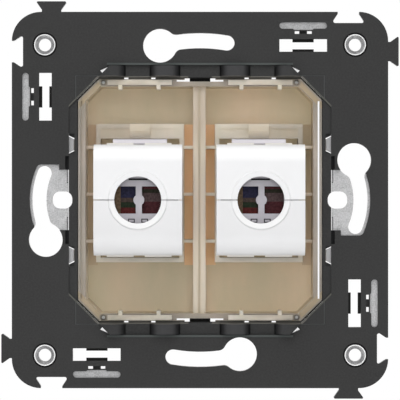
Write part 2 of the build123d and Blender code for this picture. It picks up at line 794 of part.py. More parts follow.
def latch_arm():
    """Springy arm on top of the housing, with the tooth that catches in front of the insert's shelf."""
    root = FACE_REAR + ARM_ROOT
    level = SHELF_UNDER - LOOSE_GAP - ARM_THICK / 2
    end = NEST_REAR + ARM_PROUD
    path = FilletPolyline(
        (root, KEY_HALF_UP - ARM_THICK / 2),
        (root, KEY_HALF_UP + ARM_ROOT_HEIGHT),
        (root + ARM_SLANT, KEY_HALF_UP + ARM_SLANT_HEIGHT),
        (root + ARM_LEVEL, level),
        (end, level),
        radius=ARM_BEND,
    )
    arm = bar(trace(path, ARM_THICK), 0, ARM_WIDTH)
    back = SHELF_FRONT - LOOSE_GAP
    tip = SHELF_UNDER + ARM_TOOTH
    tooth = outline([(back, level), (back, tip), (back - ARM_THICK / 2, tip), (back - ARM_TOOTH_RAMP, level)])
    return arm + bar(tooth, 0, ARM_WIDTH)


def jack_housing():
    key = area(-KEY_HALF_ACROSS, KEY_HALF_ACROSS, -KEY_HALF_UP, KEY_HALF_UP)
    body = slab(key, HOUSING_FRONT, HOUSING_STEP)
    rear = area(-HOUSING_HALF_ACROSS, HOUSING_HALF_ACROSS, -HOUSING_HALF_UP, HOUSING_HALF_UP)
    body += slab(rear, HOUSING_STEP, HOUSING_REAR)
    body -= slab(area(-PORT_HALF, PORT_HALF, PORT_BOTTOM, PORT_TOP), HOUSING_FRONT, PORT_END)
    tab_low = PORT_BOTTOM - PORT_TAB_DROP
    clip_low = tab_low - PORT_CLIP_DROP
    tab = area(-PORT_TAB_HALF, PORT_TAB_HALF, tab_low, PORT_BOTTOM + LAP)
    clip = area(-PORT_CLIP_HALF, PORT_CLIP_HALF, clip_low, tab_low + LAP)
    body -= slab(tab + clip, HOUSING_FRONT, HOUSING_FRONT + PORT_TAB_DEPTH)
    board = BOARD_HALF_ACROSS + FIT_GAP
    board_up = BOARD_HALF_UP + FIT_GAP
    body -= slab(area(-board, board, -board_up, board_up), BOARD_FRONT, HOUSING_REAR)
    half = WIRE / 2 + GROOVE_GAP
    for index, place in enumerate(contact_places()):
        run = area(place - half, place + half, PORT_TOP - LAP, TAIL_UP + half)
        body -= slab(run, SPRING_FRONT - HAIRPIN_ROOM, BOARD_FRONT)
        rise = area(place - half, place + half, PORT_TOP, tail_up(index) + half)
        body -= slab(rise, BOARD_FRONT - JOG_ROOM, BOARD_FRONT)
    for place in WIRE_PLACES:
        leg = area(place - FORK_LEG, place + FORK_LEG, FORK_LOW - LEG_ROOM, FORK_LOW + FORK_LEG + LEG_ROOM)
        for part in mirrored_up(leg):
            body -= slab(part, BOARD_FRONT - LEG_ROOM_DEPTH, BOARD_FRONT)
    hook = area(-HOOK_KEY_HALF, HOOK_KEY_HALF, -KEY_HALF_UP - HOOK_KEY_DROP, -KEY_HALF_UP)
    start = FACE_REAR + FIT_GAP
    body += slab(hook, start, start + HOOK_KEY_THICK)
    return body + latch_arm()


def contact_spring(index):
    """Bent wire: tail in the board, run along the ceiling, hairpin back down into the port."""
    up = tail_up(index)
    back = BOARD_FRONT - JOG
    tail = [(HOUSING_REAR - TAIL_INSET, up)]
    if up > TAIL_UP:
        tail += [(back, up), (back, TAIL_UP)]
    points = tail + [(SPRING_FRONT, TAIL_UP), (SPRING_FRONT, TAIL_UP - HAIRPIN), (SPRING_TIP, SPRING_TIP_UP)]
    path = FilletPolyline(*points, radius=WIRE_BEND)
    return trace(path, WIRE)


def contact_springs():
    wires = [bar(contact_spring(i), place, WIRE) for i, place in enumerate(contact_places())]
    return Compound(wires)


def circuit_board():
    shape = area(-BOARD_HALF_ACROSS, BOARD_HALF_ACROSS, -BOARD_HALF_UP, BOARD_HALF_UP)
    for index, place in enumerate(contact_places()):
        shape -= Pos(place, tail_up(index)) * Circle(WIRE / math.sqrt(2) + FIT_GAP)
    for place in WIRE_PLACES:
        hole = Pos(place, FORK_LOW + FORK_LEG / 2) * Circle(FORK_LEG / math.sqrt(2) + FIT_GAP)
        for part in mirrored_up(hole):
            shape -= part
    return slab(shape, BOARD_FRONT, HOUSING_REAR)


def fork():
    """Insulation displacement contact of the upper row at its own place, open upwards."""
    half = FORK_WIDTH / 2
    slot = FORK_SLOT / 2
    flat = area(-half, half, FORK_LOW, FORK_TOP) - area(-slot, slot, FORK_SLOT_LOW, FORK_TOP)
    wide = slot + FORK_MOUTH
    mouth = outline([(-wide, FORK_TOP), (wide, FORK_TOP), (0, FORK_TOP - FORK_MOUTH_DEPTH)])
    blade = slab(flat - mouth, FORK_FRONT, FORK_FRONT + FORK_THICK)
    leg = area(-FORK_LEG / 2, FORK_LEG / 2, FORK_LOW, FORK_LOW + FORK_LEG)
    return blade + slab(leg, BOARD_FRONT - LEG_PROUD, FORK_FRONT)


def idc_contacts():
    forks = []
    for place in WIRE_PLACES:
        upper = Pos(-place, 0, 0) * fork()
        forks += [upper, mirror(upper, Plane.XY)]
    return Compound(forks)


def hinge_side():
    """Ears, middle rib and bar that carry the upper flap."""
    ear = Pos(HINGE_Y, HINGE_UP) * Circle(EAR_R)
    ear += area(HOUSING_REAR, HINGE_Y + EAR_R, BLOCK_HALF_UP - CLEAR, HINGE_UP)
    outer = KNUCKLE_PLACE + KNUCKLE_WIDTH / 2 + HINGE_SIDE_GAP
    width = BLOCK_HALF_ACROSS - outer
    inner = 2 * (KNUCKLE_PLACE - KNUCKLE_WIDTH / 2 - HINGE_SIDE_GAP)
    body = bar(ear, outer + width / 2, width) + bar(ear, -outer - width / 2, width) + bar(ear, 0, inner)
    rod = Pos(HINGE_Y, HINGE_UP) * Circle(HINGE_BAR_R)
    return body + bar(rod, 0, 2 * BLOCK_HALF_ACROSS)


def idc_block():
    face = area(-BLOCK_HALF_ACROSS, BLOCK_HALF_ACROSS, -BLOCK_HALF_UP, BLOCK_HALF_UP)
    body = slab(face, HOUSING_REAR, BLOCK_REAR)
    rear_edges = body.edges().filter_by(Axis.X).group_by(Axis.Y)[-1]
    body = chamfer(rear_edges, BLOCK_BEVEL)
    for part in idc_cuts():
        body -= part
    side = hinge_side()
    body += side
    body += mirror(side, Plane.XY)
    return body


def idc_cuts():
    cuts = []
    for place in WIRE_PLACES:
        half = CHANNEL_WIDTH / 2
        channel = area(place - half, place + half, CHANNEL_BOTTOM, BLOCK_HALF_UP)
        blade_half = FORK_WIDTH / 2 + FIT_GAP
        blade = area(place - blade_half, place + blade_half, FORK_LOW - FIT_GAP, BLOCK_HALF_UP)
        leg_half = FORK_LEG / 2 + FIT_GAP
        leg = area(place - leg_half, place + leg_half, FORK_LOW - FIT_GAP, FORK_LOW + FORK_LEG + FIT_GAP)
        for part in mirrored_up(channel):
            cuts.append(slab(part, CHANNEL_FRONT, BLOCK_REAR))
        for part in mirrored_up(blade):
            cuts.append(slab(part, FORK_FRONT - FIT_GAP, FORK_FRONT + FORK_THICK + FIT_GAP))
        for part in mirrored_up(leg):
            cuts.append(slab(part, HOUSING_REAR, FORK_FRONT))
    panes = area(*PANE_LEFT, -PANE_HALF_UP, PANE_HALF_UP) + area(*PANE_RIGHT, -PANE_HALF_UP, PANE_HALF_UP)
    panes -= Pos((PANE_LEFT[1] + PANE_RIGHT[0]) / 2, 0) * Circle(HUB_R)
    cuts.append(slab(panes, BLOCK_REAR - PANE_DEPTH, BLOCK_REAR))
    label = area(-LABEL_HALF_ACROSS, LABEL_HALF_ACROSS, -LABEL_HALF_UP, LABEL_HALF_UP)
    floor = BLOCK_REAR - PANE_DEPTH
    cuts.append(slab(label, floor - LABEL_THICK - FIT_GAP, floor))
    half = EYE_WIDTH / 2
    eye = area(-half, half, EYE_UP - EYE_HEIGHT / 2, EYE_UP + EYE_HEIGHT / 2)
    cuts.append(slab(eye, BLOCK_REAR - EYE_DEPTH, BLOCK_REAR))
    inside = Rectangle(LOW_EYE_WIDTH - 2 * LOW_EYE_GROOVE, LOW_EYE_HEIGHT - 2 * LOW_EYE_GROOVE)
    low_eye = Rectangle(LOW_EYE_WIDTH, LOW_EYE_HEIGHT) - inside
    for side in (-1, 1):
        ring = Pos(side * LOW_EYE_ACROSS, -EYE_UP) * low_eye
        cuts.append(slab(ring, BLOCK_REAR - EYE_DEPTH, BLOCK_REAR))
    return cuts


def colour_label():
    gap = FIT_GAP
    half = LABEL_HALF_ACROSS - gap
    half_up = LABEL_HALF_UP - gap
    floor = BLOCK_REAR - PANE_DEPTH - LABEL_THICK - gap
    return slab(area(-half, half, -half_up, half_up), floor, floor + LABEL_THICK)


def cap_profile(grow, round_to):
    """Side view (depth, up) of the upper half of the cap, moved in by a wall."""
    rear = FLAP_REAR - grow
    top = FLAP_HALF_UP - grow
    low = FLAP_SPLIT / 2
    shape = outline([(FLAP_FRONT, low), (rear, low), (rear, top), (FLAP_FRONT, top)])
    corner = [v for v in shape.vertices() if v.X > rear - MATCH and v.Y > top - MATCH]
    return fillet(corner, round_to)


def upper_flap():
    body = bar(cap_profile(0, FLAP_ROUND), 0, 2 * FLAP_HALF_ACROSS)
    inner = cap_profile(FLAP_WALL, FLAP_ROUND - FLAP_WALL)
    hollow = inner + area(0, FLAP_REAR - FLAP_WALL, -CLEAR, FLAP_SPLIT / 2 + LAP)
    hollow += area(0, FLAP_FRONT + LAP, -CLEAR, FLAP_HALF_UP - FLAP_WALL)
    body -= bar(hollow, 0, 2 * (FLAP_HALF_ACROSS - FLAP_SIDE_WALL))
    opening = area(0, FLAP_TOP_FRONT, FLAP_HALF_UP - FLAP_WALL - CLEAR, FLAP_HALF_UP + CLEAR)
    body -= bar(opening, 0, 2 * (FLAP_HALF_ACROSS - FLAP_SIDE_WALL))
    collar = slab(Circle(COLLAR_R), FLAP_REAR - FLAP_WALL, FLAP_REAR + COLLAR_HEIGHT)
    rim_edge = collar.edges().group_by(Axis.Y)[-1]
    collar = chamfer(rim_edge, COLLAR_BEVEL)
    keep = slab(area(-COLLAR_R, COLLAR_R, FLAP_SPLIT / 2, COLLAR_R), 0, FLAP_REAR + CLEAR)
    body += collar & keep
    body -= slab(Circle(CABLE_R), FLAP_REAR - FLAP_WALL, FLAP_REAR + CLEAR)
    for place in WIRE_PLACES:
        half = PRESS_RIB / 2
        rib = area(place - half, place + half, PRESS_RIB_TIP, FLAP_HALF_UP - FLAP_WALL / 2)
        body += slab(rib, PRESS_RIB_FRONT, PRESS_RIB_REAR)
    for side in (-1, 1):
        body += bar(knuckle(), side * KNUCKLE_PLACE, KNUCKLE_WIDTH)
    return body


def knuckle():
    """Snap-on hinge eye, open towards the front, and the arm that joins it to the flap."""
    shape = Pos(HINGE_Y, HINGE_UP) * Circle(KNUCKLE_R)
    shape += area(HINGE_Y, FLAP_TOP_FRONT + LAP, FLAP_HALF_UP - FLAP_WALL, FLAP_HALF_UP)
    shape -= Pos(HINGE_Y, HINGE_UP) * Circle(HINGE_BAR_R + FIT_GAP)
    turn = math.radians(SNAP_ANGLE / 2)
    far = 2 * KNUCKLE_R
    tip = (HINGE_Y - far * math.cos(turn), HINGE_UP + far * math.sin(turn))
    low = (tip[0], HINGE_UP - far * math.sin(turn))
    return shape - outline([(HINGE_Y, HINGE_UP), tip, low])


def jack_pieces():
    flap = upper_flap()
    return {
        "jack_housing": jack_housing(),
        "contact_springs": contact_springs(),
        "circuit_board": circuit_board(),
        "idc_contacts": idc_contacts(),
        "idc_block": idc_block(),
        "colour_label": colour_label(),
        "upper_flap": flap,
        "lower_flap": mirror(flap, Plane.XY),
    }


def all_nodes():
    nodes = {
        "steel_plate": steel_plate(),
        "rear_cover": rear_cover(),
        "corner_bushes": corner_bushes(),
        "front_insert": front_insert(),
    }
    pieces = jack_pieces()
    for side, place in JACKS.items():
        for name, piece in pieces.items():
            nodes[f"{side}_{name}"] = Pos(-place, 0, 0) * piece
    return nodes


os.makedirs("parts", exist_ok=True)
for node, shape in all_nodes().items():
    export_step(shape, f"parts/{node}.step")
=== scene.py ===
import math

import bpy
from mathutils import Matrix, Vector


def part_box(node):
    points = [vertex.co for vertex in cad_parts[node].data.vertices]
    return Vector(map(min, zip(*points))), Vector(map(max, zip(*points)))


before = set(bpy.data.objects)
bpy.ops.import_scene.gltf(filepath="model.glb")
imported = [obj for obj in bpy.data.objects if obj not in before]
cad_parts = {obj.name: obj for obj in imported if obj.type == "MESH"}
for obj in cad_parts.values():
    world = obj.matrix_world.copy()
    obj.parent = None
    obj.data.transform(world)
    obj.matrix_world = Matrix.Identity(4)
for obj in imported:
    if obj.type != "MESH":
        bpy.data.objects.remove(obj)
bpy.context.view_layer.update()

MM = 0.001

# Constants of the screen's colour curve
CURVE_TOE = 0.04045
CURVE_SLOPE = 12.92
CURVE_OFFSET = 0.055
CURVE_POWER = 2.4


def channel(value):
    """Linear light of one 0 to 255 screen value."""
    share = value / 255
    if share <= CURVE_TOE:
        return share / CURVE_SLOPE
    return ((share + CURVE_OFFSET) / (1 + CURVE_OFFSET)) ** CURVE_POWER


def linear(red, green, blue):
    """Colour written as 0 to 255 screen values."""
    return channel(red), channel(green), channel(blue), 1.0


def grey(value):
    """Neutral tone written as a 0 to 255 screen value."""
    return linear(value, value, value)


BLACK = grey(0)
WHITE = grey(255)

# Colour sockets of a mix node, whose names it has more than once
MIX_FIRST, MIX_SECOND, MIX_RESULT = 6, 7, 2

# Camera: straight on to the rear side, from a distance read off the perspective of the caps
CAMERA_DISTANCE = 0.520
CAMERA_TURN = (math.radians(90), 0.0, math.radians(180))
CAMERA_NEAR, CAMERA_FAR = 0.01, 20.0
VIEW_WIDTH = 0.07524

# Room: places in metres, light as strengths where 1 is seen as white
FLOOR_Z = -0.13
FLOOR_TONE = (0.82, 0.82, 0.82, 1.0)
FLOOR_ROUGHNESS = 0.9
FLOOR_GLOW = 0.6
BACKDROP_Y = -0.9
BACKDROP_FOOT = FLOOR_Z - 1.0
STAGE_HALF = 3.0
ROOM_LIGHT = 0.30

# Lamps: place, size and watts
LAMPS = {
    "front_box": ((0.00, 0.95, 0.20), 0.45, 2.95),
    "low_box": ((0.00, 0.75, -0.20), 0.30, 0.6),
    "top_box": ((0.06, 0.42, 0.45), 0.30, 1.6),
    "room_side": ((-0.15, -0.70, 0.45), 0.50, 6.5),
}

# Places on the object are in metres, as seen from the rear: X to the left, Y towards the viewer, Z up.
# ACROSS and UP count both ways from the middle, and CORNER is the two added.

# Rear cover: the well, its ledge and sill, the raised rims, the fine groove, the niches and the slots
WELL_SIDE = 24.7 * MM
WELL_TOP = 25.4 * MM
WELL_LEG = 7.9 * MM
WELL_CORNER = WELL_SIDE + WELL_TOP - WELL_LEG - 0.1 * MM
WELL_EDGE_CORNER = WELL_CORNER + 0.45 * MM
WELL_EDGE_DEPTH = -0.4 * MM
LEDGE_LOW = WELL_TOP - 2.2 * MM
LEDGE_UP = (LEDGE_LOW, WELL_TOP - 0.12 * MM)
LEDGE_DEPTH = -0.46 * MM
LEDGE_ACROSS_FADE = (17.5 * MM, 14 * MM)
KNUCKLE_DEPTHS = (-0.5 * MM, 1.9 * MM)
SILL_UP = (22.3 * MM, LEDGE_LOW + 0.1 * MM)
SILL_ACROSS = 2.2 * MM
SILL_CORNER = WELL_CORNER + 0.5 * MM
RIM_UP = (25.3 * MM, 26 * MM)
RIM_DEPTH = 0.04 * MM
FINE_GROOVE_DEPTHS = (-0.14 * MM, -0.05 * MM)
NICHE_ACROSS = (WELL_SIDE, WELL_SIDE + 0.7 * MM)
NICHE_DEPTHS = (-0.9 * MM, -0.5 * MM)
SLOT_DEPTHS = (-1.6 * MM, -1.15 * MM)

# Tones of the rear cover, with painted highlights on its lines and edges, painted shade in its recesses and
# painted light on the sill
MOULD_TONES = (grey(50), grey(54))
MOULD_GRAIN = grey(58)
# Painted highlights: pale lines in the fine groove and on the rims
FINE_GROOVE_HIGHLIGHT = linear(84, 86, 86)
RIM_HIGHLIGHT = linear(76, 80, 79)
# Painted highlight on the well's slanted edges
WELL_EDGE_HIGHLIGHT = linear(88, 88, 83)
# Painted shade on the flanks of the bosses, blackest at the ledge
KNUCKLE_SHADE_TONES = [
    (0.20, linear(12, 12, 13)),
    (0.60, linear(40, 40, 41)),
    (0.85, linear(64, 64, 65)),
]
# Painted shade in the side niches
NICHE_SHADE = linear(22, 22, 23)
# Painted shade in the deep slots
SLOT_SHADE = linear(16, 16, 15)
# Painted light on the sill, against the shadow in the gap
SILL_LIGHT = linear(102, 100, 95)

# Corner bushes and the painted shadow in the gap round each
BUSH_LINE = 29.2 * MM
BUSH_GAP_RADIUS = 2.3 * MM
# Painted shadow in the gap round each bush
BUSH_GAP_SHADOW = grey(8)
BUSH_RIM_DEPTHS = (-0.08 * MM, 0.06 * MM)
BUSH_TONES = (linear(140, 140, 142), grey(186))
BUSH_RIM_TONE = grey(238)

# Steel plate: its rear face, the painted shade on its edges beside the well, the painted light in the peeps
# and the spring tongues
STEEL_REAR = -1.0 * MM
STEEL_GAP_DEPTH = STEEL_REAR - 0.2 * MM
# Painted shade on the steel's edge faces beside the well
EDGE_SHADE_DEPTHS = (STEEL_REAR - 0.95 * MM, STEEL_REAR - 0.05 * MM)
EDGE_SHADE_ACROSS = (WELL_SIDE - 0.1 * MM, WELL_SIDE + 0.6 * MM)
EDGE_SHADE_UP = 6 * MM
PEEP_ACROSS = (16.8 * MM, 19.2 * MM)
PEEP_UP = (23.6 * MM, 25.5 * MM)
TONGUE_ACROSS = (23.5 * MM, 24.9 * MM)
TONGUE_UP = (8.8 * MM, 13.3 * MM)

# Tones and gloss of the steel plate
FLAKE_TONES = (linear(150, 150, 151), linear(180, 180, 181))
SPECKLE_SHARE = (0.6, 0.6, 0.6, 1.0)
SPECKLE_TONE = linear(214, 214, 215)
EDGE_SHADE_TONE = grey(40)
# Painted light in the peeps
PEEP_LIGHT = grey(235)
TONGUE_TONE = linear(168, 168, 169)
STEEL_METAL = 0.6
PEEP_METAL = 1.0
STEEL_ROUGHNESS = (0.34, 0.55)
PEEP_ROUGHNESS_SHARE = 0.3

# Insert: its levels, from the floor of the bays up to the rails
INSERT_LOW, INSERT_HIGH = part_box("front_insert")
FACE_THICK = 1.2 * MM
FLOOR_DEPTH = INSERT_LOW.y + FACE_THICK
BAY_MIDDLE_DEPTH = -9 * MM
RIB_DEPTH = -4.3 * MM
NEST_DEPTH = -4.0 * MM
SPINE_DEPTH = -1.4 * MM
FLANGE_DEPTH = -0.4 * MM
RAIL_DEPTH = INSERT_HIGH.y
LEVEL_MARGIN = 1 * MM

# Insert: spans of depth that take a paint of their own
RIGHT_FLOOR_DEPTHS = (FLOOR_DEPTH - 0.1 * MM, BAY_MIDDLE_DEPTH)
BAY_DEPTHS = (FLOOR_DEPTH - 0.1 * MM, RIB_DEPTH - 0.1 * MM)
FLANK_DEPTHS = (FLOOR_DEPTH + 0.3 * MM, FLANGE_DEPTH - 0.4 * MM)
RIB_DEPTHS = (RIB_DEPTH - 0.15 * MM, RIB_DEPTH + 0.05 * MM)
LIP_DEPTHS = (NEST_DEPTH - 0.25 * MM, NEST_DEPTH + 0.1 * MM)
NEST_DEPTHS = (NEST_DEPTH - 0.16 * MM, NEST_DEPTH + 0.04 * MM)
SPINE_DEPTHS = (SPINE_DEPTH - 0.3 * MM, SPINE_DEPTH + 0.2 * MM)
FLANGE_DEPTHS = (FLANGE_DEPTH - 0.3 * MM, FLANGE_DEPTH + 0.1 * MM)
GROOVE_DEPTHS = (FLANGE_DEPTH - 0.6 * MM, FLANGE_DEPTH - 0.05 * MM)
RAIL_END_DEPTH = RAIL_DEPTH - 0.3 * MM
PIN_DEPTH = -1.2 * MM
CORNER_EDGE_DEPTH = FLANGE_DEPTH - 1.0 * MM

# Insert: places on those levels
SPINE_ACROSS = 1.4 * MM
SPINE_LENGTH = (-18 * MM, 18 * MM)
SPINE_POCKET = 3.0 * MM
RIB_END_ACROSS = SPINE_POCKET + 0.6 * MM
OUTER_POCKET = 19.6 * MM
NEST_SPAN = (-12.5 * MM, 14.5 * MM)
NEST_ACROSS_FADE = (15 * MM, 5 * MM)
LIP_SPAN = (-12.4 * MM, -9.8 * MM)
WALL_FACE = 21.64 * MM
WALL_ACROSS = (WALL_FACE - 0.3 * MM, WALL_FACE + 0.3 * MM)
SIDE_FLANGE_ACROSS = 20 * MM
SIDE_FLANGE_UP_FADE = (15 * MM, 9 * MM)
PEG_UP = (19 * MM, WALL_FACE)
RAIL_UP = 20 * MM
RAIL_END_ACROSS = 5 * MM
RAIL_ACROSS_FADE = (11 * MM, 6.8 * MM)
GROOVE_OUTER = INSERT_HIGH.x - 0.45 * MM
GROOVE_INNER = GROOVE_OUTER - 0.34 * MM
GROOVE_SPAN = (GROOVE_INNER - 0.02 * MM, GROOVE_OUTER + 0.02 * MM)
FLANGE_LEG = 3.75 * MM
FLANGE_CORNER = INSERT_HIGH.x + INSERT_HIGH.z - FLANGE_LEG
BEVEL_CORNER = (FLANGE_CORNER - 1.95 * MM, FLANGE_CORNER - 0.6 * MM)
SEAM_CORNER = FLANGE_CORNER - 0.2 * MM
PIN_ACROSS = 18.2 * MM
PIN_UP = INSERT_HIGH.z - 0.62 * MM
PIN_REACH = 0.8 * MM

# Tones of the insert, with light and shade painted by depth and place
INSERT_LIGHT_AND_SHADE_TONES = [
    (FLOOR_DEPTH, linear(197, 188, 172)),
    (BAY_MIDDLE_DEPTH, linear(190, 174, 154)),
    (RIB_DEPTH - 0.2 * MM, linear(204, 188, 164)),
    (RIB_DEPTH, linear(238, 218, 198)),
    (RIB_DEPTH + 0.1 * MM, linear(204, 192, 172)),
    (NEST_DEPTH, linear(190, 182, 171)),
    (NEST_DEPTH + 0.5 * MM, linear(236, 223, 203)),
    (SPINE_DEPTH - 0.3 * MM, linear(216, 204, 188)),
    (SPINE_DEPTH, linear(223, 208, 193)),
    (FLANGE_DEPTH - 0.2 * MM, linear(172, 163, 151)),
    (FLANGE_DEPTH, linear(160, 152, 143)),
    (FLANGE_DEPTH + 0.2 * MM, linear(210, 200, 188)),
    (RAIL_DEPTH, linear(213, 202, 188)),
]
# Painted light and shade along the middle rib
SPINE_LIGHT_AND_SHADE_TONES = [
    (0.05, linear(236, 221, 204)),
    (0.30, linear(246, 229, 210)),
    (0.75, linear(242, 226, 208)),
    (0.90, linear(214, 199, 184)),
]
# Painted light on the rib ends
RIB_END_LIGHT = linear(255, 246, 224)
# Painted light on the right floor
RIGHT_FLOOR_LIGHT = linear(204, 192, 175)
# Painted light and shade in warm brown in the pockets
SPINE_POCKET_SHADING = linear(226, 194, 165)
OUTER_POCKET_SHADING = linear(188, 174, 157)
# Painted light on the side flange and the flank of the wall
SIDE_FLANGE_LIGHT = linear(192, 182, 172)
FLANK_LIGHT = linear(250, 232, 216)
# Painted light on the nest rims and on the lip under each jack
NEST_LIGHT = linear(238, 226, 209)
LIP_LIGHT = linear(255, 243, 224)
PEG_TONE = linear(250, 238, 214)
RAIL_END_TONE = linear(255, 241, 222)
# Painted light in the groove
GROOVE_LIGHT = linear(196, 187, 174)
BEVEL_TONE = linear(176, 160, 138)
# Painted shadow in the seam
SEAM_SHADOW = linear(52, 48, 42)
PIN_RING_TONE = linear(140, 133, 124)
# Painted white glint at each pin's core, in a darker ring
PIN_GLINT_AND_RING_TONES = [
    (0.00, WHITE),
    (0.34, WHITE),
    (0.42, PIN_RING_TONE),
    (0.62, PIN_RING_TONE),
    (0.95, linear(168, 158, 144)),
]
VANILLA_TINTS = (linear(236, 239, 233), linear(255, 250, 247))
VANILLA_GLOW = (1.0, 0.97, 0.92)

# Caps: the span of their height over which light and shade are painted, the collar round the cable hole and
# the tabs
CAP_SPAN = (-10.2 * MM, 10.2 * MM)
COLLAR_SPAN = (-4 * MM, 4 * MM)
COLLAR_REAR = 15.75 * MM
COLLAR_DEPTH = COLLAR_REAR - 0.05 * MM
COLLAR_STEP_DEPTHS = (COLLAR_REAR - 0.33 * MM, COLLAR_DEPTH)
COLLAR_STEP_LOWEST = -1.5 * MM
TAB_UP = 10.22 * MM

# Tones of the caps, most of them painted light and shade
# Painted light and shade from bottom to top
CAP_LIGHT_AND_SHADE_TONES = [
    (0.00, grey(228)),
    (0.08, linear(228, 228, 229)),
    (0.20, linear(222, 222, 223)),
    (0.49, linear(224, 224, 225)),
    (0.51, linear(231, 231, 232)),
    (0.84, linear(232, 232, 233)),
    (0.92, grey(250)),
    (1.00, WHITE),
]
# Painted light on the collar, paler on its lower half
COLLAR_LIGHT_TONES = [
    (0.0, grey(238)),
    (0.5, linear(231, 231, 232)),
]
# Painted light on the collar's step, against its shaded line
COLLAR_STEP_LIGHT = linear(236, 236, 237)
# Painted light on the tabs
TAB_LIGHT = linear(255, 253, 248)
CAP_TINTS = (grey(252), WHITE)

# Jack housings and wire blocks: the painted shade in the eyes of the block and the latch above the cap
BLOCK_FACE = 12.9 * MM
EYE_DEPTHS = (BLOCK_FACE - 2.6 * MM, BLOCK_FACE - 0.04 * MM)
EYE_UP = (3.25 * MM, 4.35 * MM)
LATCH_LOWEST = 10.3 * MM
HOUSING_TONES = (linear(172, 169, 175), linear(184, 181, 187))
# Painted shade inside the eyes
EYE_SHADE = linear(10, 10, 12)
LATCH_TONE = linear(242, 238, 244)

# Wires and boards
GOLD_TONES = (linear(214, 170, 84), linear(240, 205, 120))
TIN_TONES = (linear(190, 190, 186), linear(222, 222, 218))
BOARD_TONES = (linear(20, 84, 44), linear(34, 112, 60))

# Colour labels: on each half the lowest field's tone, then each next field's lower edge and tone
LABEL_LEFT = linear(92, 38, 36), [
    (-1.4 * MM, linear(38, 50, 34)),
    (-0.4 * MM, linear(84, 70, 64)),
    (0.4 * MM, linear(44, 44, 70)),
]
LABEL_RIGHT = linear(78, 38, 42), [
    (-0.3 * MM, linear(94, 76, 76)),
    (1.3 * MM, linear(48, 48, 36)),
    (2.0 * MM, linear(88, 42, 46)),
]
LABEL_MARGIN = 3.25 * MM
# Tan margin: the beige side strip with painted shade
LABEL_MARGIN_IN_SHADE = linear(124, 104, 82)
LABEL_TINTS = (grey(190), WHITE)

# Noises: how fine detail fades, and where a noise turns from one tone into the other
NOISE_ROUGHNESS = 0.6
SOFT_TURN = (0.3, 0.7)
GRAIN_TURN = (0.35, 0.65)
SPECKLE_TURN = (0.38, 0.62)
WHOLE_TURN = (0.0, 1.0)


